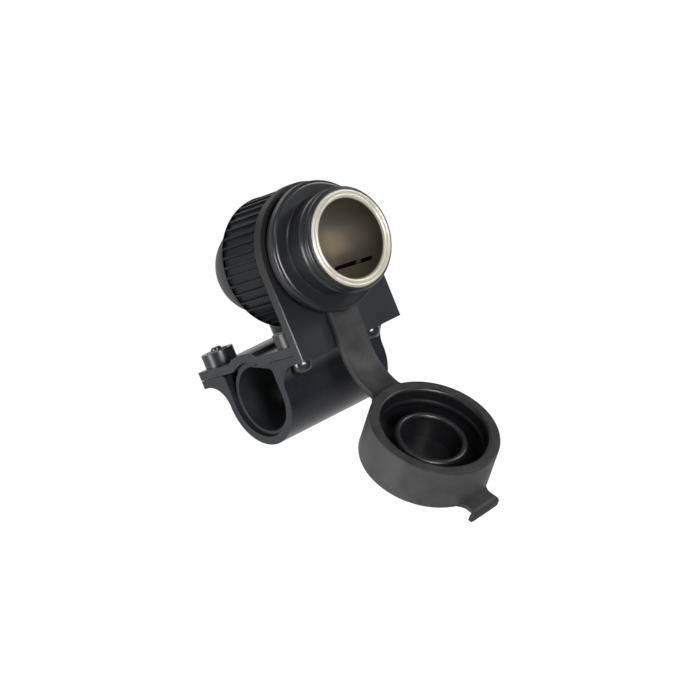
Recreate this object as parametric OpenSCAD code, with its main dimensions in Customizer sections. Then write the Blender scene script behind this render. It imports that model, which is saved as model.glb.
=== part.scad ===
// Handlebar clamp power socket, 12 volt lighter type, with a tethered rubber dust cap.
// Millimetres. X runs along the handlebar, -Y is the way the socket mouth faces, Z is up.
// The origin is the centre of the clamp's round opening, midway along its width.

/* [View] */
// sub-part to draw, or all of them

/* [Clamp] */
// width of the clamp and of the face plate, along the handlebar
clamp_w = 36; // [30:0.5:60]
// radius of the round opening in the bare clamp halves
clamp_r = 10.2; // [9:0.1:16]
// wall of the clamp round the opening
clamp_wall = 2.2; // [1.8:0.1:4]
// thickness of the rubber sleeve in the clamp
pad_t = 1.2; // [1:0.05:3]
// how far the rubber sleeve stops short of the clamp's ends
pad_inset = 1.3; // [0.5:0.1:3]
// how far the parting line lies below the top of the trough's circle
split_drop = 1.18; // [1.1:0.02:5]
// gap between the two clamp halves at the parting line
split_gap = 0.12; // [0.1:0.02:0.6]
// thickness of the base strip over the opening
strip_t = 2.35; // [1.8:0.05:4]
// how much the arch in the base strip is wider than the trough, in radius
arch_gap = 0.5; // [0:0.1:1]
// thickness of the saddle's flanges
flange_t = 2.2; // [1.8:0.1:4]
// rounding between the saddle's wall and its flanges
saddle_fillet = 6.3; // [3:0.1:6.6]

/* [Screws] */
// distance between screws across the handlebar
screw_span_y = 32; // [31:0.1:60]
// distance between screws along the handlebar
screw_span_x = 25.3; // [20:0.1:48]
// screw thread diameter
screw_d = 3; // [2.5:0.5:4]
// screw length under the head
screw_len = 9.5; // [8:0.5:14]
// screw head diameter
head_d = 5.6; // [5:0.1:6.4]
// screw head height
head_h = 3.3; // [2:0.1:4]
// hex nut width across flats
nut_af = 5.5; // [5:0.1:7]
// hex nut height
nut_h = 2.4; // [2:0.1:3.2]
// radius of the bosses over the screws
boss_r = 4.5; // [4.2:0.1:5.2]
// height of the bosses above the base strip
boss_h = 3.85; // [3:0.05:5]

/* [Face plate] */
// thickness of the face plate
plate_t = 2.9; // [2.4:0.1:5]
// gap between the ring nut and the arch in the base strip
nut_gap = 1.3; // [0.6:0.1:16]
// how far the plate's bottom edge hangs below the parting line
plate_lip = 2.4; // [2.4:0.1:5]

/* [Socket] */
// radius of the metal bore that takes the plug
bore_r = 10.5; // [10.4:0.05:10.7]
// wall of the metal shell
shell_t = 0.6; // [0.5:0.05:0.9]
// how far the shell's rolled lip stands out from the bore
lip_w = 2.3; // [1.9:0.05:2.4]
// wall of the socket's neck
neck_t = 1.95; // [1.85:0.05:2.6]
// height of the neck's two beads
bead_h = 0.7; // [0.4:0.05:1]
// how far the neck stands out of the flange
neck_len = 9.7; // [8:0.1:14]
// how far the socket's flange stands out from the threaded barrel
flange_w = 2.9; // [2:0.05:3.4]
// thickness of the socket's flange
rim_t = 2.4; // [2:0.1:4]
// wall of the threaded barrel behind the flange
barrel_t = 3.35; // [2.6:0.05:4]
// depth of the metal shell behind the plate's front face
shell_depth = 21; // [19:0.5:22]

/* [Ring nut] */
// length of the ribbed ring nut
ring_len = 15.2; // [13:0.1:16]
// thickness of the nut over its ribs at the plate end
ring_t1 = 3.1; // [2.4:0.05:3.6]
// thickness of the nut over its ribs and rim at the rear end
ring_t2 = 2.95; // [2.4:0.05:3.6]
// height of the ribs at the rear end
rib_h = 0.6; // [0.3:0.05:0.9]
// number of ribs round the nut
rib_n = 42; // [24:1:60]
// width of one rib
rib_w = 0.65; // [0.5:0.05:1.2]

/* [Rear boot] */
// wall of the rubber boot
boot_t = 0.88; // [0.8:0.02:2]
// how far behind the ring nut the boot's dome begins
dome_gap = 5; // [4.2:0.1:12]
// wall of the cable outlet round the grommet
outlet_t = 1; // [0.6:0.1:2]
// radius of the cable hole
cable_r = 2.2; // [1.5:0.1:2.6]

/* [Dust cap] */
// wall of the cap
cap_t = 3.25; // [2:0.05:4]
// clearance between the cap's cavity and the neck's beads
cap_gap = 0.4; // [0.4:0.05:0.7]
// thickness of the cap's closed end
cap_top = 1.8; // [1.5:0.1:3]
// clearance between the cap's plug ring and the bore
plug_gap = 0.65; // [0.2:0.05:1.2]
// wall of the plug ring
plug_t = 1.8; // [1:0.1:3]
// width of the strap
strap_w = 10; // [7:0.5:12]
// thickness of the strap
strap_t = 2; // [1.4:0.1:2.6]
// width of the pull tab
tab_w = 10; // [6:0.5:14]
// how far the pull tab stands out from the cap
tab_len = 3.6; // [3:0.1:6]
// how far the tab is turned round the cap from the side opposite the strap, degrees
tab_turn = 7.5; // [0:0.1:30]
// sideways lean of the hanging cap about the socket's axis, degrees
cap_lean = 3; // [0:0.5:6]
// angle through which the hanging cap swings to face the mouth, degrees
cap_swing = 138.7; // [130:0.1:145]

/* [Hidden] */
$fn = 96;
slip = 0.05;
shell_r = bore_r + shell_t;
tube_r = shell_r + slip;
spigot_r = tube_r + 0.85;
lip_r = bore_r + lip_w;
neck_r = tube_r + neck_t;
bead_r = neck_r + bead_h;
barrel_r = tube_r + barrel_t;
flange_r = barrel_r + flange_w;
ring_r1 = barrel_r + ring_t1;
ring_r2 = barrel_r + ring_t2;
boot_in_r = spigot_r + 0.02;
boot_r = boot_in_r + boot_t;
outlet_r = cable_r + 0.8 + outlet_t;
cap_in_r = bead_r + cap_gap;
cap_r = cap_in_r + cap_t;
plug_r = bore_r - plug_gap;
half_w = clamp_w / 2;
clamp_ro = clamp_r + clamp_wall;
split_z = clamp_r - split_drop;
arch_r = clamp_r + arch_gap;
arch_ro = arch_r + clamp_wall + 0.1;
pad_r = clamp_r - pad_t;
pad_split = split_z - 2.5;
socket_z = arch_ro + nut_gap + ring_r1;
strip_top = split_z + strip_t;
boss_top = strip_top + boss_h;
flange_top = split_z - split_gap;
seat_z = flange_top - flange_t;
sx = screw_span_x / 2;
sy = screw_span_y / 2;
strip_end = sy + boss_r - 0.2;
plate_back = -sy - boss_r - 0.4;
plate_y = plate_back - plate_t;
plate_bottom = split_z - plate_lip;
hump_fillet = 3;
head_r = head_d / 2;
screw_r = screw_d / 2;
screw_hole_r = screw_r + 0.2;
nut_top = boss_top + 0.25;
pocket_af = nut_af + 0.15;
spot_r = head_r + 0.5;

// stations along the socket's axis, measured backwards from the plate's front face
gasket_t = 2.8;
flange_back = -gasket_t;
flange_front = flange_back - rim_t;
neck_front = flange_front - neck_len;
lip_front = neck_front - 0.65;
barrel_end = plate_t + ring_len - 0.6;
ring_end = plate_t + ring_len;
boot_dome = ring_end + dome_gap;
spigot_end = barrel_end + 4.6;
disc_front = shell_depth - 2.4;
step_at = disc_front - 4.7;
foot_r = bore_r - 0.5;
boot_end = boot_dome + boot_r;
outlet_end = boot_end + 3;

// the cap in its hanging pose: centre of its rim and how it faces, in the leaning plane
cap_depth = neck_len + 1.1;
cap_h = cap_depth + cap_top;
press_len = neck_len + 1.35;
face_a = 180 - cap_swing;
blade_w = 6.3;
blade_t = 0.8;
rivet_y = bore_r - 2.2;
slot_w = 1.3;
slot_at = [42.6, 222.6];
strap_y = -gasket_t / 2;
bend_r = 18;
bend_a = face_a + 9;
drop_z = -flange_r - 9.8;
tie_y = strap_y - bend_r * (1 - cos(bend_a));
tie_z = drop_z - bend_r * sin(bend_a);
tie_drop = 2.37;
rim_y = tie_y - cap_r * sin(face_a) - tie_drop * cos(face_a);
rim_z = tie_z - cap_r * cos(face_a) + tie_drop * sin(face_a);

module along_x(w) {
  rotate([90, 0, 90]) linear_extrude(height = w, center = true) children();
}

module on_axis() {
  translate([0, plate_y, socket_z]) rotate([-90, 0, 0]) children();
}

module turned(points) {
  on_axis() rotate_extrude() polygon(points);
}

module four(z) {
  for (a = [-1, 1]) for (b = [-1, 1]) translate([a * sx, b * sy, z]) children();
}

module hex(af, h) {
  cylinder(r = af / 2 / cos(30), h = h, $fn = 6);
}

// the leaning plane that the tether and the cap hang in
module lean() {
  translate([0, plate_y, socket_z]) rotate([0, cap_lean, 0]) children();
}

// the cap's own space: its rim is at zero and its closed end is along +Z
module cap_space() {
  lean() translate([0, rim_y, rim_z]) rotate([-90 - face_a, 0, 0]) children();
}

// one moulding: face plate, base strip with its arch, four nut bosses
module arch_profile() {
  fy = sqrt(pow(arch_ro + hump_fillet, 2) - pow(strip_top + hump_fillet, 2));
  difference() {
    union() {
      translate([plate_back - 0.2, split_z]) square([strip_end - plate_back + 0.2, strip_t]);
      intersection() {
        circle(r = arch_ro);
        translate([-arch_ro, split_z]) square([2 * arch_ro, arch_ro]);
      }
      for (s = [-1, 1]) difference() {
        polygon([[0, split_z], [s * fy, split_z], [s * fy, strip_top + hump_fillet]]);
        translate([s * fy, strip_top + hump_fillet]) circle(r = hump_fillet);
      }
    }
    circle(r = arch_r);
  }
}

module plate_outline() {
  union() {
    translate([-half_w, plate_bottom]) square([clamp_w, socket_z - plate_bottom]);
    translate([0, socket_z]) circle(r = half_w);
  }
}

module bracket() {
  color("dimgray") difference() {
    union() {
      translate([0, plate_back, 0]) rotate([90, 0, 0]) linear_extrude(height = plate_t)
        plate_outline();
      along_x(clamp_w) arch_profile();
      four(strip_top - 0.1) cylinder(r = boss_r, h = boss_h + 0.1);
      for (a = [-1, 1]) translate([a * sx - boss_r + 1.2, plate_back - 0.1, strip_top - 0.1])
        cube([2 * boss_r - 2.4, boss_r, boss_h + 0.1]);
    }
    on_axis() translate([0, 0, -1]) cylinder(r = barrel_r + 0.15, h = plate_t + 2);
    four(split_z - 1) cylinder(r = screw_hole_r, h = strip_t + boss_h + 2);
    four(nut_top - nut_h) rotate([0, 0, 0]) hex(pocket_af, nut_h + 1);
  }
}

// the lower clamp half: a round trough with two flanges and flat seats for the screw heads
module saddle_profile() {
  difference() {
    union() {
      circle(r = clamp_ro);
      translate([-clamp_ro, 0]) square([2 * clamp_ro, flange_top]);
      translate([plate_back + slip, seat_z]) square([strip_end - plate_back - slip, flange_t]);
      for (s = [-1, 1]) difference() {
        translate([s * (clamp_ro + saddle_fillet / 2 - 0.1), seat_z - saddle_fillet / 2])
          square([saddle_fillet + 0.2, saddle_fillet], center = true);
        translate([s * (clamp_ro + saddle_fillet), seat_z - saddle_fillet])
          circle(r = saddle_fillet);
      }
    }
    circle(r = clamp_r);
    translate([-clamp_r, 0]) square([2 * clamp_r, flange_top + 1]);
    translate([-clamp_ro * 2, flange_top]) square([clamp_ro * 4, clamp_ro]);
    for (s = [-1, 1]) difference() {
      translate([s * (clamp_r + 0.5), flange_top - 0.5]) square([1.2, 1.2], center = true);
      translate([s * (clamp_r + 1.1), flange_top - 1.1]) circle(r = 1.1);
    }
  }
}

module clamp_saddle() {
  color("dimgray") difference() {
    along_x(clamp_w) saddle_profile();
    four(seat_z - 1) cylinder(r = screw_hole_r, h = flange_t + 2);
    four(seat_z - head_h - 2) cylinder(r = spot_r, h = head_h + 2);
  }
}

// a rubber sleeve in two pieces that lines the clamp and grips the bar
module sleeve_ring(r) {
  difference() {
    circle(r = r);
    circle(r = pad_r);
  }
}

module upper_pad() {
  color("black") along_x(clamp_w - 2 * pad_inset) union() {
    intersection() {
      sleeve_ring(clamp_r - 0.02);
      translate([-clamp_r, pad_split + 0.05]) square([2 * clamp_r, clamp_r]);
    }
    intersection() {
      sleeve_ring(arch_r - 0.02);
      translate([-clamp_r, split_z + 0.02]) square([2 * clamp_r, clamp_r]);
    }
  }
}

module lower_pad() {
  color("black") along_x(clamp_w - 2 * pad_inset) intersection() {
    sleeve_ring(clamp_r - 0.02);
    translate([-clamp_r, -clamp_r - 0.05]) square([2 * clamp_r, clamp_r + pad_split]);
  }
}

// four screws, heads under the saddle, threads up through the bosses
module clamp_screws() {
  color("black") four(seat_z) {
    difference() {
      union() {
        translate([0, 0, -head_h]) rotate_extrude()
          polygon([[0, 0], [head_r * 0.55, 0.1], [head_r * 0.85, 0.55], [head_r, 1.3],
            [head_r, head_h], [0, head_h]]);
        translate([0, 0, -0.1]) cylinder(r = screw_r, h = screw_len - 0.3);
        translate([0, 0, screw_len - 0.4]) cylinder(r1 = screw_r, r2 = screw_r - 0.4, h = 0.4);
      }
      translate([0, 0, -head_h - 0.5]) hex(2, 2);
    }
  }
}

module clamp_nuts() {
  color("silver") four(nut_top - nut_h) difference() {
    hex(nut_af, nut_h);
    translate([0, 0, -1]) cylinder(r = screw_r + 0.02, h = nut_h + 2);
  }
}

// the socket's plastic body: beaded neck, flange, threaded barrel and rear spigot
module socket_body() {
  b = bead_r - neck_r;
  color("black") difference() {
    turned([[tube_r, spigot_end], [tube_r, neck_front + 0.8], [lip_r + slip, neck_front + 0.8],
      [lip_r + slip, neck_front], [neck_r + b * 0.3, neck_front],
      [neck_r + b * 0.75, neck_front + 0.3], [bead_r, neck_front + 0.8],
      [bead_r, neck_front + 1.3], [neck_r + b * 0.65, neck_front + 1.9],
      [neck_r + 0.15, neck_front + 2.3], [neck_r + b * 0.65, neck_front + 2.8],
      [bead_r, neck_front + 3.6], [bead_r, neck_front + 4.2],
      [neck_r + b * 0.65, neck_front + 5], [neck_r, neck_front + 5.5], [neck_r, flange_front], [flange_r - 0.5, flange_front], [flange_r, flange_front + 0.5],
      [flange_r, flange_back - 0.3], [flange_r - 0.3, flange_back], [barrel_r, flange_back],
      [barrel_r, barrel_end], [spigot_r, barrel_end], [spigot_r, spigot_end]]);
    on_axis() translate([-1.5, barrel_r - 1.2, -0.5]) cube([3, 3, barrel_end + 2]);
  }
}

// the metal cup that takes the plug, with a rolled lip and two long slots
module slot_cut() {
  translate([bore_r - 1, -slot_w / 2, -10.5]) cube([3, slot_w, 16.5]);
}

module socket_shell() {
  color("silver") difference() {
    turned([[bore_r, lip_front + 0.6], [bore_r + 0.2, lip_front + 0.2], [bore_r + 0.55, lip_front],
      [lip_r - 0.55, lip_front], [lip_r - 0.15, lip_front + 0.2], [lip_r, lip_front + 0.6],
      [lip_r, neck_front + 0.5], [lip_r - 0.3, neck_front + 0.75],
      [shell_r, neck_front + 0.75], [shell_r, step_at + 0.2], [foot_r + shell_t, step_at + 0.8],
      [foot_r + shell_t, shell_depth + shell_t], [6.7, shell_depth + shell_t],
      [6.7, shell_depth], [foot_r, shell_depth], [foot_r, step_at + 0.6], [bore_r, step_at]]);
    on_axis() for (a = slot_at) rotate([0, 0, a]) slot_cut();
    on_axis() translate([0, -rivet_y, shell_depth - 1]) cylinder(r = 1, h = 3);
  }
}

// a sprung strip in each slot, bowed in to touch the plug
module side_springs() {
  color("silver") on_axis() for (a = slot_at) rotate([0, 0, a])
    translate([0, slot_w / 2 - 0.15, 0]) rotate([90, 0, 0]) linear_extrude(height = slot_w - 0.3)
      polygon([[bore_r + 0.2, 5.9], [bore_r + 0.55, 5.9], [bore_r + 0.55, 3],
        [bore_r + 0.38, -2.5], [bore_r + 0.55, -8], [bore_r + 0.55, -10.4],
        [bore_r + 0.2, -10.4], [bore_r + 0.2, -8], [bore_r + 0.03, -2.5],
        [bore_r + 0.2, 3]]);
}

// the insulating floor of the bore
module insulator_disc() {
  color("saddlebrown") difference() {
    turned([[1.25, disc_front], [foot_r - slip, disc_front], [foot_r - slip, shell_depth - 0.02],
      [6.6, shell_depth - 0.02], [6.6, shell_depth + 1.6], [1.25, shell_depth + 1.6]]);
    on_axis() translate([0, -rivet_y, disc_front - 1]) cylinder(r = 1, h = 5);
  }
}

// the live contact at the bottom of the bore: a domed button on a sprung base
module centre_contact() {
  color("gold") turned([[1.25, disc_front - 0.02], [5, disc_front - 0.02],
    [5, disc_front - 0.6], [3.4, disc_front - 1.4], [3.2, disc_front - 3.2],
    [2.5, disc_front - 3.9], [1.25, disc_front - 4.1]]);
}

module contact_rivet() {
  color("silver") turned([[0, disc_front - 4.6], [1.3, disc_front - 4.5],
    [1.9, disc_front - 4.12], [1.2, disc_front - 4.12], [1.2, shell_depth + 2.42],
    [2.1, shell_depth + 2.42], [1.8, shell_depth + 2.9], [0, shell_depth + 3.1]]);
}

// flat push-on terminals behind the shell
module positive_blade() {
  color("gold") on_axis() {
    difference() {
      translate([-blade_w / 2, -3, shell_depth + 1.62]) cube([blade_w, 6, blade_t - 0.02]);
      translate([0, 0, shell_depth + 1]) cylinder(r = 1.25, h = 2);
    }
    difference() {
      translate([-blade_w / 2, 3 - blade_t, shell_depth + 1.7]) cube([blade_w, blade_t, boot_dome + 9.1 - shell_depth - 1.7]);
      translate([0, 4, boot_dome + 5.9]) rotate([90, 0, 0]) cylinder(r = 0.9, h = 3);
    }
  }
}

module negative_blade() {
  color("silver") on_axis() {
    difference() {
      translate([-blade_w / 2, -rivet_y - 1.6, shell_depth + shell_t + 0.02]) cube([blade_w, 3.1, blade_t]);
      translate([0, -rivet_y, shell_depth]) cylinder(r = 1.05, h = 4);
    }
    difference() {
      translate([-blade_w / 2, 0.7 - rivet_y, shell_depth + shell_t + 0.1]) cube([blade_w, blade_t, boot_dome + 7.6 - shell_depth - 0.7]);
      translate([0, -6, boot_dome + 4.7]) rotate([90, 0, 0]) cylinder(r = 0.9, h = 4);
      translate([0, -rivet_y, shell_depth]) cylinder(r = 2, h = 2.2);
    }
  }
}

module ground_rivet() {
  color("silver") on_axis() translate([0, -rivet_y, 0]) {
    translate([0, 0, disc_front - 0.5]) cylinder(r = 1.5, h = 0.48);
    translate([0, 0, disc_front - 0.1]) cylinder(r = 0.95, h = 4.2);
    translate([0, 0, shell_depth + shell_t + 0.84]) cylinder(r = 1.5, h = 0.6);
  }
}

// the ring nut that pulls the flange and the tether ring against the plate
module ring_nut() {
  r1 = ring_r1 - rib_h * 0.75;
  r2 = ring_r2 - rib_h;
  z1 = plate_t + 0.02;
  k = (ring_r2 - ring_r1) / ring_len;
  color("black") difference() {
    union() {
      turned([[barrel_r - 1, z1], [r1, z1], [r2, ring_end - 0.8], [ring_r2, ring_end - 0.8],
        [ring_r2, ring_end - 0.2], [ring_r2 - 0.2, ring_end], [barrel_r - 1, ring_end]]);
      on_axis() for (i = [0:rib_n - 1]) rotate([0, 0, (i + 0.5) * 360 / rib_n])
        translate([0, rib_w / 2, 0]) rotate([90, 0, 0]) linear_extrude(height = rib_w)
          polygon([[r2 - 0.7, z1 + 0.9], [ring_r1 - 0.15, z1 + 0.9], [ring_r1, z1 + 1.2],
            [ring_r2 - 0.02, ring_end - 0.7], [r2 - 0.7, ring_end - 0.7]]);
    }
    on_axis() cylinder(r = barrel_r + slip, h = ring_end + 2);
  }
}

// the rubber boot over the terminals, with a short outlet for the cable
module rear_boot() {
  color("black") difference() {
    union() {
      on_axis() translate([0, 0, barrel_end + 0.05])
        cylinder(r = boot_r, h = boot_dome - barrel_end - 0.05);
      on_axis() translate([0, 0, boot_dome]) sphere(r = boot_r);
      on_axis() translate([0, 0, boot_dome + 6]) cylinder(r = outlet_r, h = outlet_end - boot_dome - 6);
    }
    on_axis() cylinder(r = boot_in_r, h = boot_dome);
    on_axis() translate([0, 0, boot_dome]) sphere(r = boot_in_r);
    on_axis() cylinder(r = cable_r + 0.8, h = outlet_end + 5);
  }
}

module cable_grommet() {
  c = cable_r + 1.8;
  w = cable_r + 0.78;
  z = boot_dome + sqrt(pow(boot_in_r, 2) - pow(c, 2)) - 0.02;
  color("dimgray") turned([[cable_r, z - 1.1], [c, z - 1.1], [c, z], [w, z], [w, outlet_end + 0.02],
    [cable_r + 1.6, outlet_end + 0.02], [cable_r + 1.3, outlet_end + 1], [cable_r, outlet_end + 1]]);
}

// the tether: a rubber ring held behind the flange, and a strap that curves forward
module cap_ring() {
  color("black") union() {
    turned([[barrel_r + slip, flange_back + 0.02], [flange_r - 0.7, flange_back + 0.02],
      [flange_r - 0.2, flange_back + 0.5], [flange_r - 0.2, -0.5], [flange_r - 0.7, -0.02],
      [barrel_r + slip, -0.02]]);
    lean() translate([-strap_w / 2, -gasket_t / 2 - strap_t / 2, -flange_r - 2])
      cube([strap_w, strap_t, 3]);
  }
}

// side view of the strap in the leaning plane: down, then round towards the cap
module strap_side() {
  union() {
    translate([strap_y - strap_t / 2, drop_z - 0.01])
      square([strap_t, -flange_r - 2.02 - drop_z]);
    translate([strap_y - bend_r, drop_z]) intersection() {
      difference() {
        circle(r = bend_r + strap_t / 2);
        circle(r = bend_r - strap_t / 2);
      }
      polygon([[0, 0], [60, 0], [60, -60 * tan(bend_a + 6)]]);
    }
  }
}

module cap_strap() {
  color("black") lean() intersection() {
    along_x(strap_w) strap_side();
    cap_clear();
  }
}

// everything outside the cap's wall, so that the strap ends on it
module cap_clear() {
  difference() {
    translate([-20, -60, -60]) cube([40, 80, 50]);
    translate([0, rim_y, rim_z]) rotate([-90 - face_a, 0, 0]) translate([0, 0, -20])
      cylinder(r = cap_r + 0.02, h = 50);
  }
}

// the pull tab: a waisted tongue at the closed end with a turned-down lip
module pull_tab() {
  e = cap_r + tab_len;
  t = cap_h - 1.6;
  rotate([0, 0, 90 - tab_turn]) union() {
    translate([0, 0, t]) linear_extrude(height = 1.3) difference() {
      translate([cap_r - 2, -tab_w / 2 - 1]) square([tab_len + 2, tab_w + 2]);
      for (s = [-1, 1]) translate([cap_r + 2.2, s * (tab_w / 2 + 2)]) circle(r = 2.4);
    }
    translate([0, tab_w / 2 + 1, 0]) rotate([90, 0, 0]) linear_extrude(height = tab_w + 2)
      polygon([[e - 1.3, t + 0.3], [e - 0.6, t], [e - 0.1, t + 0.1], [e + 0.35, t + 0.5],
        [e + 0.6, t + 1.2], [e + 0.6, t + 2.4], [e + 0.35, t + 2.9], [e - 0.1, t + 3],
        [e - 0.5, t + 2.7], [e - 0.6, t + 1.9], [e - 0.9, t + 1.3]]);
  }
}

// the cap: a cup with a snap bead and a plug ring inside, and a pull tab at its closed end
module dust_cap() {
  pi = plug_r - plug_t;
  color("dimgray") cap_space() union() {
    rotate_extrude() polygon([[0, cap_depth], [pi, cap_depth], [pi, 4.05], [pi + 0.4, 3.55],
      [plug_r - 0.5, 3.55], [plug_r, 4.05], [plug_r, cap_depth], [cap_in_r, cap_depth],
      [cap_in_r, 4.7], [cap_in_r - 0.3, 4.2], [cap_in_r - 0.3, 3.8], [cap_in_r, 3.3],
      [cap_in_r, 0.6], [cap_in_r + 0.6, 0], [cap_r - 0.8, 0], [cap_r - 0.25, 0.25],
      [cap_r, 0.8], [cap_r, cap_h - 1.2], [cap_r - 0.35, cap_h - 0.35], [cap_r - 1.2, cap_h],
      [0, cap_h]]);
    pull_tab();
  }
}

bracket();
clamp_saddle();
upper_pad();
lower_pad();
clamp_screws();
clamp_nuts();
socket_body();
socket_shell();
side_springs();
insulator_disc();
centre_contact();
contact_rivet();
positive_blade();
negative_blade();
ground_rivet();
ring_nut();
rear_boot();
cable_grommet();
cap_ring();
cap_strap();
dust_cap();
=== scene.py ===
import math

import bmesh
import bpy
from mathutils import Matrix, Vector


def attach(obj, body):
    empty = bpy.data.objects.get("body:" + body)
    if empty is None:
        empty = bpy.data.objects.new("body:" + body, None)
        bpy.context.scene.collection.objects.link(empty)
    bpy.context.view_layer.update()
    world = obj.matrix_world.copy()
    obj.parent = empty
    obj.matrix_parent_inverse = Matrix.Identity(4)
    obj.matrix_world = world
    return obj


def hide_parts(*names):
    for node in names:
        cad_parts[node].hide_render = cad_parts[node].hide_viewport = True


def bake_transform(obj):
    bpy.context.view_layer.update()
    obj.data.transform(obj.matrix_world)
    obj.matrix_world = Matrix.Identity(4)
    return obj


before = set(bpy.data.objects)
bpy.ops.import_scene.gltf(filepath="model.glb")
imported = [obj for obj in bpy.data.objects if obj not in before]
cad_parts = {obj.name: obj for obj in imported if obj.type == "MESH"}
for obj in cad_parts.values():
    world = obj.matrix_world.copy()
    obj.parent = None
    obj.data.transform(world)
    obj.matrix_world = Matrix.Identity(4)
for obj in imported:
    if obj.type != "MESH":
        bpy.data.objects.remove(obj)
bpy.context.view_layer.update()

# Camera: where the photographer stood, to the left in front of the socket and a little
# above it, with a long lens, looking slightly down and rolled by some 22 degrees.
cam = bpy.data.cameras.new("camera")
camera = bpy.data.objects.new("camera", cam)
bpy.context.collection.objects.link(camera)
camera.matrix_world = Matrix((
    (0.704266, 0.347703, -0.618961, -0.573711),
    (-0.603670, -0.165538, -0.779859, -0.737055),
    (-0.373620, 0.922876, 0.093315, 0.092267),
    (0, 0, 0, 1),
))
cam.sensor_width = 36
cam.lens = 181.52
cam.shift_x = 0.0263
cam.shift_y = -0.0033
cam.clip_start = 0.01
cam.clip_end = 50
bpy.context.scene.camera = camera
bpy.context.scene.view_settings.view_transform = "Standard"


# Floor: white paper far under the cap. To the camera it glows up to full white, which
# drowns the object's soft shadow. What shines sees it dark in front of the object and
# pale behind it, never at the camera's full white.
class Wire:
    """One socket of a node tree; sums on it add Math nodes."""

    def __init__(self, tree, socket):
        self.tree, self.socket = tree, socket

    def math(self, operation, a, b=None, clamp=False):
        node = self.tree.nodes.new("ShaderNodeMath")
        node.operation = operation
        node.use_clamp = clamp
        for slot, value in zip(node.inputs, (a, b)):
            if isinstance(value, Wire):
                self.tree.links.new(value.socket, slot)
            elif value is not None:
                slot.default_value = value
        return Wire(self.tree, node.outputs[0])

    def __add__(self, other):
        return self.math("ADD", self, other)

    def __radd__(self, other):
        return self.math("ADD", other, self)

    def __sub__(self, other):
        return self.math("SUBTRACT", self, other)

    def __rsub__(self, other):
        return self.math("SUBTRACT", other, self)

    def __mul__(self, other):
        return self.math("MULTIPLY", self, other)

    def __rmul__(self, other):
        return self.math("MULTIPLY", other, self)

    def __lt__(self, other):
        return self.math("LESS_THAN", self, other)

    def __abs__(self):
        return self.math("ABSOLUTE", self)

    def clamp(self):
        return self.math("ADD", self, 0.0, clamp=True)

    def ramp(self, low, high):
        """0 at low and 1 at high, level beyond them."""
        return self.math("DIVIDE", self - low, high - low, clamp=True)


class Finish:
    """A material for one kind of surface, with its pattern on object coordinates."""

    def __init__(self, name, **fixed):
        self.material = bpy.data.materials.new(name)
        self.material.use_nodes = True
        self.tree = self.material.node_tree
        self.shader = self.tree.nodes["Principled BSDF"]
        self.place = self.node("ShaderNodeTexCoord").outputs["Object"]
        for socket, value in fixed.items():
            self.shader.inputs[socket.replace("_", " ")].default_value = value

    def node(self, kind, settings=None, **values):
        node = self.tree.nodes.new(kind)
        for key, value in (settings or {}).items():
            setattr(node, key, value)
        for key, value in values.items():
            slot = node.inputs[key.replace("_", " ")]
            if isinstance(value, Wire):
                value = value.socket
            if isinstance(value, bpy.types.NodeSocket):
                self.tree.links.new(value, slot)
            else:
                slot.default_value = value
        return node

    def noise(self, per_mm, detail=3.0, stretch=(1, 1, 1)):
        scale = tuple(1000 * per_mm * s for s in stretch)
        spot = self.node("ShaderNodeMapping", Vector=self.place, Scale=scale)
        made = self.node("ShaderNodeTexNoise", Vector=spot.outputs[0], Scale=1.0,
                         Detail=detail, Roughness=0.55)
        return Wire(self.tree, made.outputs["Fac"])

    def cells(self, per_mm):
        spot = self.node("ShaderNodeMapping", Vector=self.place, Scale=(1000 * per_mm,) * 3)
        made = self.node("ShaderNodeTexVoronoi", Vector=spot.outputs[0], Scale=1.0)
        return Wire(self.tree, made.outputs["Distance"])

    def axis(self, which):
        """The place along X, Y or Z in millimetres."""
        split = self.node("ShaderNodeSeparateXYZ", Vector=self.place)
        return Wire(self.tree, split.outputs[which]) * 1000.0

    def between(self, share, dark, light):
        mix = self.node("ShaderNodeMix", {"data_type": "RGBA"})
        self.tree.links.new(share.socket, mix.inputs[0])
        for slot, colour in ((mix.inputs[6], dark), (mix.inputs[7], light)):
            if isinstance(colour, bpy.types.NodeSocket):
                self.tree.links.new(colour, slot)
            else:
                slot.default_value = (*colour, 1)
        return mix.outputs[2]

    def colour(self, socket):
        self.tree.links.new(socket, self.shader.inputs["Base Color"])

    def rough(self, wire):
        self.tree.links.new(wire.socket, self.shader.inputs["Roughness"])

    def relief(self, height, depth_mm):
        bump = self.node("ShaderNodeBump", Strength=1.0, Distance=depth_mm / 1000, Height=height)
        self.tree.links.new(bump.outputs[0], self.shader.inputs["Normal"])


floor_z = -0.16
floor_half = 6
seen_share, seen_white = 0.6, 1.5
floor_mesh = bpy.data.meshes.new("floor")
bm = bmesh.new()
bmesh.ops.create_grid(bm, x_segments=1, y_segments=1, size=floor_half)
bmesh.ops.translate(bm, verts=bm.verts, vec=(0, 0, floor_z))
bm.to_mesh(floor_mesh)
bm.free()
floor = bpy.data.objects.new("floor", floor_mesh)
bpy.context.collection.objects.link(floor)
paper = Finish("floor_paper", Roughness=0.9)
paper.colour(paper.between(paper.noise(0.002), (0.80, 0.80, 0.80), (0.84, 0.84, 0.84)))
rays = paper.node("ShaderNodeLightPath").outputs
seen = Wire(paper.tree, rays["Is Camera Ray"]) + Wire(paper.tree, rays["Is Transmission Ray"])
mirrored = Wire(paper.tree, rays["Is Glossy Ray"])
far = paper.axis("Y").ramp(-200, 120) * 0.70 + 0.08
glow = paper.node("ShaderNodeEmission", Color=(1, 1, 1, 1),
                  Strength=seen * seen_white + (1 - seen) * far)
pick = paper.node("ShaderNodeMixShader", Fac=(seen * seen_share + mirrored).clamp())
paper.tree.links.new(paper.shader.outputs[0], pick.inputs[1])
paper.tree.links.new(glow.outputs[0], pick.inputs[2])
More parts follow.
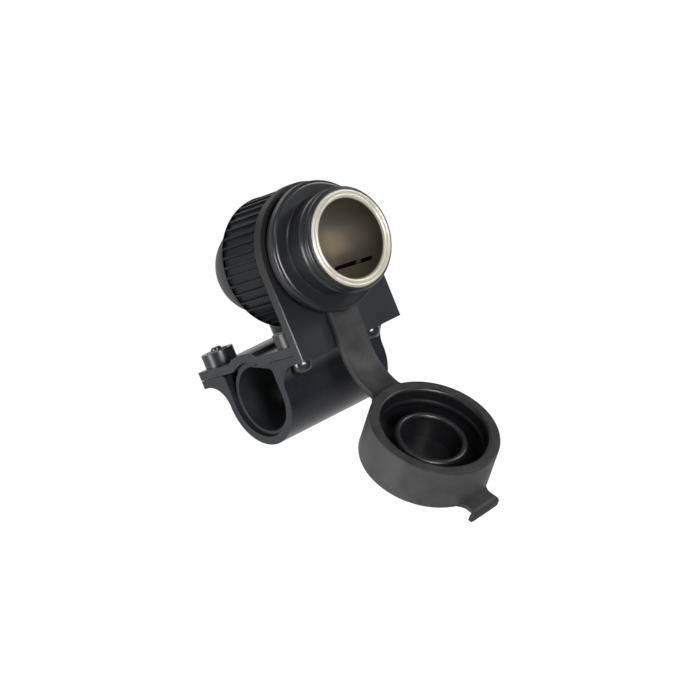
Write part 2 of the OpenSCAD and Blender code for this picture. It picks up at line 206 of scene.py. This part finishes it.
paper.tree.links.new(pick.outputs[0], paper.tree.nodes["Material Output"].inputs["Surface"])
floor_mesh.materials.append(paper.material)

# Room: white to the camera only. The object is lit by, and but for a trace mirrors, a dim
# room with a bright wall behind it and a pale ceiling, which keeps dark plastic dark.
world = bpy.data.worlds.new("room")
bpy.context.scene.world = world
world.use_nodes = True
room = world.node_tree
room.nodes["Background"].inputs["Color"].default_value = (1, 1, 1, 1)
rays = room.nodes.new("ShaderNodeLightPath").outputs
way = room.nodes.new("ShaderNodeSeparateXYZ")
room.links.new(room.nodes.new("ShaderNodeTexCoord").outputs["Generated"], way.inputs[0])
up = Wire(room, way.outputs["Z"])
wall = Wire(room, way.outputs["Y"]).ramp(0.0, 0.8) * (1 - up.ramp(0.15, 0.6) * 0.75)
seen = Wire(room, rays["Is Camera Ray"]) + Wire(room, rays["Is Transmission Ray"])
seen = seen + Wire(room, rays["Is Glossy Ray"]) * 0.04
level = seen + 0.10 + wall * 0.80 + up.ramp(0.2, 0.9) * 0.16
room.links.new(level.clamp().socket, room.nodes["Background"].inputs["Strength"])


# Lamps: soft boxes, each with its place, its width and height, its watts and the point
# that it looks at. The low one lies in front and lights the saddle from below.
def lamp(name, at, size, watts, aim=(0, -0.02, 0.02)):
    light = bpy.data.lights.new(name, "AREA")
    light.shape = "RECTANGLE"
    light.size, light.size_y = size
    light.energy = watts
    stand = bpy.data.objects.new(name, light)
    bpy.context.collection.objects.link(stand)
    away = (Vector(at) - Vector(aim)).to_track_quat("Z", "Y")
    stand.matrix_world = Matrix.Translation(at) @ away.to_matrix().to_4x4()


lamp("key", (-0.50, -0.60, 0.75), (0.35, 0.35), 1.4)
lamp("top", (0.1, 0.45, 0.8), (0.5, 0.4), 1.4)
lamp("side", (-0.8, 0.12, -0.02), (0.26, 0.6), 6.5)
lamp("front", (-0.34, -1.0, 0.06), (0.2, 0.2), 6.2)
lamp("fill", (0.66, -0.60, 0.25), (0.22, 0.22), 2.6)
lamp("low", (-0.2, -0.7, -0.11), (0.4, 0.06), 2.2, (0.01, -0.04, -0.04))


# Face plate and base strip, one moulding in black plastic: an upright round-headed plate,
# a strip over the bar with an arch in it, and four bosses that hold the nuts.
# The mould leaves small roundings and a satin grain. Painted shade darkens the plate towards
# its top, and a painted highlight runs down the plate's near edge.
def piece(name, bm, finish, body, replaces=()):
    """One object of the scene from a bmesh in millimetres."""
    bmesh.ops.scale(bm, verts=bm.verts, vec=(0.001,) * 3)
    mesh = bpy.data.meshes.new(name)
    bm.to_mesh(mesh)
    bm.free()
    mesh.shade_smooth()
    mesh.set_sharp_from_angle(angle=math.radians(38))
    mesh.materials.append(finish.material)
    made = bpy.data.objects.new(name, mesh)
    bpy.context.collection.objects.link(made)
    even = made.modifiers.new("even", "WEIGHTED_NORMAL")
    even.keep_sharp = True
    even.weight = 60
    if body:
        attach(made, body)
    if replaces:
        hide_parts(*replaces)
    return made


def round_edges(bm, over, width, steps):
    """Round every edge that turns by more than some degrees."""
    sharp = [e for e in bm.edges
             if len(e.link_faces) == 2 and e.calc_face_angle(0) > math.radians(over)]
    bmesh.ops.bevel(bm, geom=sharp, offset=width, offset_type="OFFSET", segments=steps,
                    profile=0.5, affect="EDGES", clamp_overlap=True, material=-1)


def softened(node, width, steps=2):
    """A copy of a CAD node with its edges rounded, in millimetres."""
    bm = bmesh.new()
    bm.from_mesh(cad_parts[node].data)
    bmesh.ops.scale(bm, verts=bm.verts, vec=(1000,) * 3)
    bmesh.ops.remove_doubles(bm, verts=bm.verts, dist=0.002)
    bmesh.ops.dissolve_limit(bm, angle_limit=math.radians(1), use_dissolve_boundaries=False,
                             verts=bm.verts, edges=bm.edges)
    round_edges(bm, 32, width, steps)
    return bm


moulded = Finish("black_moulding", IOR=1.46)
grain = moulded.noise(5.0, 2.0)
broad = moulded.noise(0.12)
height = moulded.axis("Z")
plain = moulded.between(broad, (0.011, 0.012, 0.014), (0.017, 0.018, 0.020))
# Painted shade: the colour goes near black towards the top of the moulding.
plain = moulded.between(height.ramp(15, 28), plain, (0.003, 0.003, 0.004))
# Painted highlight: a light stripe down the plate's near front edge, fading out towards the top.
near_edge = (moulded.axis("X") < -17.80) * (moulded.axis("Y") < -23.5)
painted_edge_highlight = near_edge * height.ramp(27, 13)
moulded.colour(moulded.between(painted_edge_highlight, plain, (0.17, 0.17, 0.18)))
moulded.rough(0.26 + broad * 0.08 + grain * 0.04 + height.ramp(16, 34) * 0.25)
moulded.relief(grain, 0.006)
piece("face_plate", softened("bracket", 0.5, 4), moulded, "holder",
      ["bracket"])

# Saddle, the lower half of the clamp: black plastic, satin, a round trough with two
# flanges. It is pulled up against the strip by four screws. A small web closes the
# corner under the front flange at each end.
web_ends = ((-17.98, -16.75), (16.75, 17.98))
web_corners = ((-2.2, 9.2), (-10.4, 9.2), (-10.4, 7.25))
web_sides = ((0, 1, 2), (5, 4, 3), (0, 3, 4, 1), (1, 4, 5, 2), (2, 5, 3, 0))
satin = Finish("black_saddle", IOR=1.46)
grain = satin.noise(5.0, 2.0)
broad = satin.noise(0.10)
satin.colour(satin.between(broad, (0.008, 0.009, 0.012), (0.013, 0.014, 0.018)))
satin.rough(0.20 + broad * 0.10 + grain * 0.03)
satin.relief(grain, 0.004)
bm = softened("clamp_saddle", 0.25)
for ends in web_ends:
    web = [bm.verts.new((x, y, z)) for x in ends for y, z in web_corners]
    sides = [bm.faces.new([web[i] for i in side]) for side in web_sides]
    bmesh.ops.recalc_face_normals(bm, faces=sides)
piece("saddle", bm, satin, "holder", ["clamp_saddle"])

# Sleeve between the clamp and the bar: soft black rubber, matt, laid in the trough
# and filling the arch, with the seam pressed shut. Its ends lie back at the front flange.
bar_r = 9
trough_r, arch_r = 10.18, 10.66
arch_z = 9.04
sleeve_half = 16.7
set_back = 1.4
back_from, back_to = 0.36, 1.1


def sin(degrees):
    return math.sin(math.radians(degrees))


def cos(degrees):
    return math.cos(math.radians(degrees))


def points(geom):
    return [g for g in geom if isinstance(g, bmesh.types.BMVert)]


sleeve = Finish("sleeve_rubber", IOR=1.45)
grain = sleeve.noise(3.0, 4.0)
sleeve.colour(sleeve.between(sleeve.noise(0.2), (0.008, 0.009, 0.010), (0.014, 0.015, 0.017)))
sleeve.rough(0.46 + grain * 0.12)
sleeve.relief(grain, 0.02)
bm = bmesh.new()
loops = []
for a in range(0, 360, 3):
    out = arch_r if arch_r * sin(a) > arch_z else trough_r
    loops.append([bm.verts.new((-sleeve_half, r * cos(a), r * sin(a))) for r in (bar_r, out)])
ring = [bm.faces.new((a[0], a[1], b[1], b[0])) for a, b in zip(loops, loops[1:] + loops[:1])]
grown = bmesh.ops.extrude_face_region(bm, geom=ring)["geom"]
bmesh.ops.translate(bm, verts=points(grown), vec=(2 * sleeve_half, 0, 0))
bmesh.ops.recalc_face_normals(bm, faces=bm.faces)
round_edges(bm, 60, 0.2, 3)
for v in bm.verts:
    if abs(v.co.x) > 16 and back_from < math.atan2(-v.co.y, v.co.z) < back_to:
        v.co.x -= math.copysign(set_back, v.co.x)
piece("sleeve", bm, sleeve, "holder", ["upper_pad", "lower_pad"])


# Four screws with pan heads, blackened and glossy, up through the flanges into plated
# nuts sunk in the bosses. The ends of the threads show above the nuts.
def turned(outline, place, width=0, steps=144, segments=2, over=50):
    """Turn a profile of (radius, distance along the axis) and put it in its place."""
    bm = bmesh.new()
    corners = [bm.verts.new((r, 0, along)) for r, along in outline]
    for a, b in zip(corners, corners[1:] + corners[:1]):
        if a.co.x or b.co.x:
            bm.edges.new((a, b))
    bmesh.ops.spin(bm, geom=bm.verts[:] + bm.edges[:], cent=(0, 0, 0), axis=(0, 0, 1),
                   dvec=(0, 0, 0), angle=math.tau, steps=steps, use_merge=True,
                   use_duplicate=False)
    bmesh.ops.remove_doubles(bm, verts=bm.verts, dist=0.0005)
    bmesh.ops.recalc_face_normals(bm, faces=bm.faces)
    if width:
        round_edges(bm, over, width, segments)
    bmesh.ops.transform(bm, matrix=place, verts=bm.verts)
    return bm


screw_x, screw_y, head_z = 12.65, 16, 3.4
screw_outline = [
    (0, 0.7), (1.0, 0.7), (1.15, 0.05), (1.6, 0.12), (2.1, 0.42), (2.5, 0.95), (2.72, 1.6),
    (2.8, 2.3), (2.8, 3.15), (2.65, 3.3), (1.5, 3.3), (1.5, 12.4), (1.1, 12.8), (0, 12.8)]
black_screw = Finish("black_screw", IOR=1.7)
fine = black_screw.noise(2.5)
black_screw.colour(black_screw.between(fine, (0.010, 0.010, 0.011), (0.020, 0.020, 0.022)))
black_screw.rough(0.16 + fine * 0.10)
black_screw.relief(fine, 0.004)
bm = turned(screw_outline, Matrix.Translation((-screw_x, -screw_y, head_z)), steps=48)
first = bm.verts[:] + bm.edges[:] + bm.faces[:]
for step in ((2 * screw_x, 0, 0), (0, 2 * screw_y, 0), (2 * screw_x, 2 * screw_y, 0)):
    copied = bmesh.ops.duplicate(bm, geom=first)["geom"]
    bmesh.ops.translate(bm, verts=points(copied), vec=step)
piece("screws", bm, black_screw, "holder", ["clamp_screws"])
plated = Finish("plated_nut", Metallic=1.0)
fine = plated.noise(2.0)
plated.colour(plated.between(fine, (0.10, 0.10, 0.105), (0.17, 0.17, 0.175)))
plated.rough(0.30 + fine * 0.15)
piece("nuts", softened("clamp_nuts", 0.12), plated, "holder", ["clamp_nuts"])

# Socket body: one turned moulding in smooth black plastic, with two beads on its neck
# that the cap snaps over, a flange in front of the plate and a thread behind it.
plate_y, axis_z = -23.8, 31.9
socket_at = Matrix.Translation((0, plate_y, axis_z))
on_axis = socket_at @ Matrix.Rotation(math.radians(-90), 4, "X")
neck_r, bead_h = 13.12, 0.68
front_bead, rear_bead, valley = (-13.85, 1.15), (-10.95, 1.6), -12.65
rim_r, rim_at = 1.2, (16.2, -3.98)
glossy = Finish("black_socket", IOR=1.5)
fine = glossy.noise(0.6)
glossy.colour(glossy.between(fine, (0.009, 0.0095, 0.011), (0.013, 0.0135, 0.015)))
glossy.rough(0.27 + fine * 0.04)
beads = []
for i in range(34):
    y = -14.7 + i * 0.16
    middle, reach = front_bead if y < valley else rear_bead
    swell = max(0.0, math.cos(math.pi / 2 * (y - middle) / reach)) ** 1.2
    beads.append((neck_r + bead_h * swell, y))
rim_arc = [(rim_at[0] + rim_r * sin(a), rim_at[1] - rim_r * cos(a)) for a in range(0, 91, 9)]
body_outline = [
    (11.15, 22.1), (11.15, -14.1), (12.85, -14.1), (12.85, -14.9), (13.2, -14.9), *beads,
    (13.1, -5.5), (13.5, -5.18), *rim_arc,
    (17.4, -2.8), (14.5, -2.8), (14.5, 17.5), (12.0, 17.5), (12.0, 22.1)]
piece("socket", turned(body_outline, on_axis, 0.15), glossy, "holder",
      ["socket_body"])

# Metal cup for the plug: drawn steel with a warm nickel plate, a rolled lip over the end
# of the neck and two slots with sprung strips in them.
mouth_y = -38.4
lip_at, lip_r, lip_h = (12.3, -14.8), 0.52, 0.6
slot_turn, slot_half = 42.6, 3.8
slot_from, slot_to = -10.5, 6
crest_y = -28.4
nickel = Finish("warm_nickel")
fine = nickel.noise(1.2, stretch=(1, 0.12, 1))
cloud = nickel.noise(0.25)
depth = nickel.axis("Y")
inside = depth.ramp(mouth_y - 0.08, mouth_y + 0.04)
nickel.tree.links.new((0.45 + inside * 0.45).socket, nickel.shader.inputs["Metallic"])
plate_tone = nickel.between(cloud, (0.44, 0.41, 0.31), (0.58, 0.56, 0.51))
# Painted light and shade inside the bore: light deep in and at middle height, dark near the
# mouth and towards the top and bottom.
off_middle = abs(nickel.axis("Z") - 31.0).ramp(3, 10.5)
painted_bore_shade = 1 - depth.ramp(-37, -17) * (1 - off_middle * 0.75)
bore_colour_with_painted_light = nickel.between(painted_bore_shade, (0.99, 0.94, 0.85), (0.20, 0.17, 0.12))
nickel.colour(nickel.between(inside, plate_tone, bore_colour_with_painted_light))
nickel.rough(0.32 + fine * 0.08 + inside * 0.08)
nickel.relief(fine, 0.002)
lip = [(lip_at[0] + lip_r * cos(a), lip_at[1] - lip_h * sin(a)) for a in range(0, 151, 15)]
cup_outline = lip + [
    (11.8, -15.06), (11.74, -15.2), (11.5, -15.4), (11.2, -15.45), (10.9, -15.3),
    (10.65, -14.95), (10.52, -14.5), (10.5, -13), (10.5, slot_from), (10.5, slot_to),
    (10.5, 13.9), (10, 14.5), (10, 21), (6.7, 21), (6.7, 21.6), (10.6, 21.6), (10.6, 14.7),
    (11.1, 14.1), (11.1, slot_to), (11.1, slot_from), (11.1, -14.15), (12.5, -14.15),
    (12.8, -14.4)]
bm = turned(cup_outline, on_axis)
slot_faces = []
for face in bm.faces:
    at = on_axis.inverted() @ face.calc_center_median()
    turn = (math.degrees(math.atan2(at.y, at.x)) - slot_turn + 90) % 180 - 90
    in_wall = 10.3 < math.hypot(at.x, at.y) < 11.2
    if abs(turn) < slot_half and slot_from < at.z < slot_to and in_wall:
        slot_faces.append(face)
bmesh.ops.delete(bm, geom=slot_faces, context="FACES")
for side in (-1, 1):
    rims = [e for e in bm.edges
            if e.is_boundary and (e.verts[0].co.x + e.verts[1].co.x) * side > 0]
    bmesh.ops.bridge_loops(bm, edges=rims)
piece("cup", bm, nickel, "holder", ["socket_shell"])
oxide = Finish("dark_strip", Metallic=1.0)
# Painted highlight: a light band across the dark strips around crest_y.
painted_crest_highlight = 1 - abs(oxide.axis("Y") - crest_y).ramp(0.6, 1.4)
oxide.colour(oxide.between(painted_crest_highlight, (0.010, 0.010, 0.010), (0.26, 0.24, 0.20)))
oxide.rough(0.45 + oxide.noise(1.0) * 0.2)
piece("side_strips", softened("side_springs", 0.04), oxide, "holder",
      ["side_springs"])

# Floor of the cup and the live contact: a pale fibre disc, a brass button on it,
# and the rivets and push-on blades that carry the wires behind.
fibre = Finish("pale_fibre")
weave = fibre.noise(1.5)
fibre.colour(fibre.between(weave, (0.76, 0.71, 0.60), (0.86, 0.82, 0.72)))
fibre.rough(0.5 + weave * 0.2)
brass = Finish("plain_brass", Metallic=1.0)
fine = brass.noise(1.0)
brass.colour(brass.between(fine, (0.62, 0.46, 0.20), (0.78, 0.62, 0.32)))
brass.rough(0.28 + fine * 0.18)
tinned = Finish("tinned_steel", Metallic=1.0)
fine = tinned.noise(1.0)
tinned.colour(tinned.between(fine, (0.50, 0.50, 0.50), (0.66, 0.66, 0.66)))
tinned.rough(0.25 + fine * 0.2)
for name, node, width, finish, slot in (
        ("fibre_disc", "insulator_disc", 0.1, fibre, "insulator"),
        ("live_button", "centre_contact", 0.15, brass, "contact_brass"),
        ("live_blade", "positive_blade", 0.08, brass, "blade_brass"),
        ("button_rivet", "contact_rivet", 0.1, tinned, "rivet_steel"),
        ("earth_blade", "negative_blade", 0.08, tinned, "blade_steel"),
        ("earth_rivet", "ground_rivet", 0.08, tinned, "rivet_steel")):
    piece(name, softened(node, width), finish, "holder", [node])

# Ring nut: black plastic, turned up by hand on the body's thread behind the plate.
# Narrow ribs with rounded fronts stand on a floor that deepens to a thin rear rim.
skin_r, rib_foot_r = 16.5, 17.3
deepest, slope, sink_y = 0.4, 0.03, -6
ribbed = Finish("black_ring_nut", IOR=1.40, Specular_IOR_Level=0.22)
fine = ribbed.noise(3.0)
broad = ribbed.noise(0.15)
ribbed.colour(ribbed.between(broad, (0.005, 0.006, 0.007), (0.009, 0.010, 0.011)))
ribbed.rough(0.26 + broad * 0.10 + fine * 0.05)
ribbed.relief(fine, 0.006)
bm = softened("ring_nut", 0.12)
for v in bm.verts:
    reach = math.hypot(v.co.x, v.co.z - axis_z)
    if reach > skin_r:
        under_ribs = min(1.0, max(0.0, (rib_foot_r - reach) / 0.1))
        sink = under_ribs * min(deepest, max(0.0, -slope * (v.co.y - sink_y)))
        v.co.x *= 1 - sink / reach
        v.co.z -= (v.co.z - axis_z) * sink / reach
piece("ring_nut_ribs", bm, ribbed, "holder", ["ring_nut"])

# Rear boot: soft black rubber pushed over the body's spigot, a plain dome over the
# terminals with a short outlet for the cable and a grommet in it.
boot_rubber = Finish("boot_rubber", IOR=1.45)
fine = boot_rubber.noise(2.0, 4.0)
broad = boot_rubber.noise(0.1)
boot_rubber.colour(boot_rubber.between(broad, (0.016, 0.016, 0.018), (0.024, 0.024, 0.026)))
boot_rubber.rough(0.42 + fine * 0.12)
boot_rubber.relief(fine, 0.008)
piece("boot", softened("rear_boot", 0.3, 3), boot_rubber, "holder",
      ["rear_boot"])
piece("grommet", softened("cable_grommet", 0.2), boot_rubber, "holder",
      ["cable_grommet"])


# Tether of the dust cap, one moulding with it in dark grey rubber: a ring held behind
# the socket's flange, and a flat strap that curves down and forward to the cup.
def dusty_rubber(name, ior, dark, light, speck, roughness):
    """Moulded rubber, blotchy and with fine specks of dust."""
    made = Finish(name, IOR=ior)
    fine = made.noise(2.5, 4.0)
    blotch = made.noise(0.22, 4.0).ramp(0.30, 0.70)
    specks = 1 - made.cells(0.34).ramp(0.035, 0.065)
    made.colour(made.between(specks * 0.5, made.between(blotch, dark, light), speck))
    made.rough(roughness + fine * 0.12)
    made.relief(fine, 0.012)
    return made


cap_rubber = dusty_rubber("cap_rubber", 1.42, (0.010, 0.010, 0.011), (0.027, 0.027, 0.028),
                          (0.16, 0.16, 0.16), 0.50)
ring_outline = [
    (14.55, -2.78), (15.9, -2.78), (16.35, -2.3), (16.35, -0.5), (15.9, -0.02), (14.55, -0.02)]
piece("tether_ring", turned(ring_outline, on_axis, 0.25, segments=3, over=24), cap_rubber,
      "holder", ["cap_ring"])

lean = socket_at @ Matrix.Rotation(math.radians(3), 4, "Y")
facing = 41.3
strap_t, strap_half, strap_flare = 2.0, 4.9, 1.2
strap_y, strap_top, drop_z = -1.4, -17.0, -27.2
bend_r, bend_a = 18, facing + 9
straight = strap_top - drop_z
length = straight + math.radians(bend_a) * bend_r


def band(place, stations, thick):
    """A flat band: its section goes along stations of (across, along, turn, half width)."""
    bm = bmesh.new()
    section = bmesh.ops.create_grid(bm, x_segments=10, y_segments=4, size=1)["verts"]
    for v in section:
        if abs(v.co.x) > 0.95 and abs(v.co.y) > 0.95:
            v.co.x *= 0.975
            v.co.y *= 0.85
        elif abs(v.co.x) > 0.95 and abs(v.co.y) > 0.4:
            v.co.x *= 0.993
    faces = bm.faces[:]
    moved = section
    last = Matrix.Identity(4)
    for i, (across, along, turn, half) in enumerate(stations):
        if i:
            grown = bmesh.ops.extrude_face_region(bm, geom=faces)["geom"]
            moved = points(grown)
            faces = [g for g in grown if isinstance(g, bmesh.types.BMFace)]
        spot = place @ Matrix.Translation((0, across, along)) @ Matrix.Rotation(-turn, 4, "X")
        spot = spot @ Matrix.Diagonal((half, thick / 2, 1, 1))
        bmesh.ops.transform(bm, matrix=spot @ last.inverted(), verts=moved)
        last = spot
    bmesh.ops.recalc_face_normals(bm, faces=bm.faces)
    return bm


def strap_station(s):
    """The strap at a length s: straight down from the ring first, then round the bend."""
    bent = max(0.0, s - straight) / bend_r
    if bent:
        at = (strap_y - bend_r * (1 - math.cos(bent)), drop_z - bend_r * math.sin(bent))
    else:
        at = (strap_y, strap_top - s)
    flare = min(1.0, max(0.0, 1 - (length - s) / 1.4))
    return (*at, bent, strap_half + strap_flare * flare ** 3)


def strap_point(s):
    return lean @ Vector((0, *strap_station(s)[:2])) * 0.001


def strap(first, last, steps):
    stations = [strap_station(first + (last - first) * i / steps) for i in range(steps + 1)]
    return band(lean, stations, strap_t)


upper = piece("strap_upper", strap(-1.0, length * 0.62, 26), cap_rubber, None,
              ["cap_strap"])
strap_point(1.0)
strap_point(length * 0.60)
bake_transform(upper)
lower = piece("strap_lower", strap(length * 0.62, length + 1.8, 24), cap_rubber, None)
strap_point(length * 0.64)
strap_point(length - 0.5)
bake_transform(lower)

# Dust cap: rim, wall, closed end, plug ring and snap bead in one turn of the same rubber,
# dusty, with painted light on its outer wall and smoother and darker inside, with a pull
# tab opposite the strap.
cap_r, strap_in = 17.45, 2.37
tie = (strap_y - bend_r * (1 - cos(bend_a)), drop_z - bend_r * sin(bend_a))
rim = (tie[0] - cap_r * sin(facing) - strap_in * cos(facing),
       tie[1] - cap_r * cos(facing) + strap_in * sin(facing))
cup_place = (lean @ Matrix.Translation((0, rim[0], rim[1]))
             @ Matrix.Rotation(math.radians(-90 - facing), 4, "X"))
cap_outline = [
    (0, 10.8), (7.9, 10.8), (7.9, 4.7), (7.98, 4.2), (8.25, 3.72), (8.7, 3.46), (9.15, 3.46),
    (9.6, 3.72), (9.87, 4.2), (9.95, 4.7), (9.95, 10.8), (14.2, 10.8), (14.2, 5.7),
    (14.06, 5.3), (13.8, 4.8), (13.68, 4.35), (13.78, 3.9), (14.02, 3.5), (14.2, 3.2),
    (14.2, 1.1), (14.26, 0.7), (14.45, 0.33), (14.75, 0.1), (15.1, 0), (17.0, 0),
    (17.32, 0.12), (cap_r, 0.45), (cap_r, 11.6), (17.3, 12.1), (16.95, 12.45), (16.45, 12.6),
    (0, 12.6)]
cup = piece("cup_cap", turned(cap_outline, cup_place), cap_rubber, "cap",
            ["dust_cap"])
polished = Finish("cap_inside", IOR=1.45)
fine = polished.noise(1.5)
polished.colour(polished.between(fine, (0.004, 0.004, 0.005), (0.008, 0.008, 0.009)))
polished.rough(0.35 + fine * 0.03)
cup.data.materials.append(polished.material)
# Painted light: the outer wall takes a lighter copy of the rubber, as if lit from below.
painted_light_cap_wall = dusty_rubber("painted_light_cap_wall", 1.45, (0.026, 0.026, 0.027), (0.040, 0.040, 0.041),
                        (0.20, 0.20, 0.20), 0.42)
cup.data.materials.append(painted_light_cap_wall.material)
for face in cup.data.polygons:
    at = cup_place.inverted() @ (face.center * 1000)
    reach = math.hypot(at.x, at.y)
    if 0.05 < at.z < 11 and reach < 15.1:
        face.material_index = 1
    # Outer wall: the copy with painted light.
    elif reach > 17.2 and at.z > 0.5:
        face.material_index = 2

tab_t, tab_out, fold_at, fold_r, tip_at = 1.3, -11.65, -20.15, 0.75, -20.9
outwards = Matrix(((0, 0, -1, 0), (1, 0, 0, 0), (0, -1, 0, 0), (0, 0, 0, 1)))
tab_place = cup_place @ Matrix.Rotation(math.radians(90 - 7.5), 4, "Z") @ outwards
tab = [(tab_out, -16.0 - 0.45 * i, 0.0, 6.3 - 1.5 * sin(min(90, 15 * i))) for i in range(9)]
for i in range(1, 9):
    turn = math.radians(11 * i)
    tab.append((tab_out - fold_r * (1 - math.cos(turn)), fold_at - fold_r * math.sin(turn),
                turn, 4.8 + 0.11 * i))
for across, half in ((-12.9, 5.7), (-13.6, 5.7), (-14.0, 5.6)):
    tab.append((across, tip_at, math.radians(90), half))
piece("pull_tab", band(tab_place, tab, tab_t), cap_rubber, "cap")
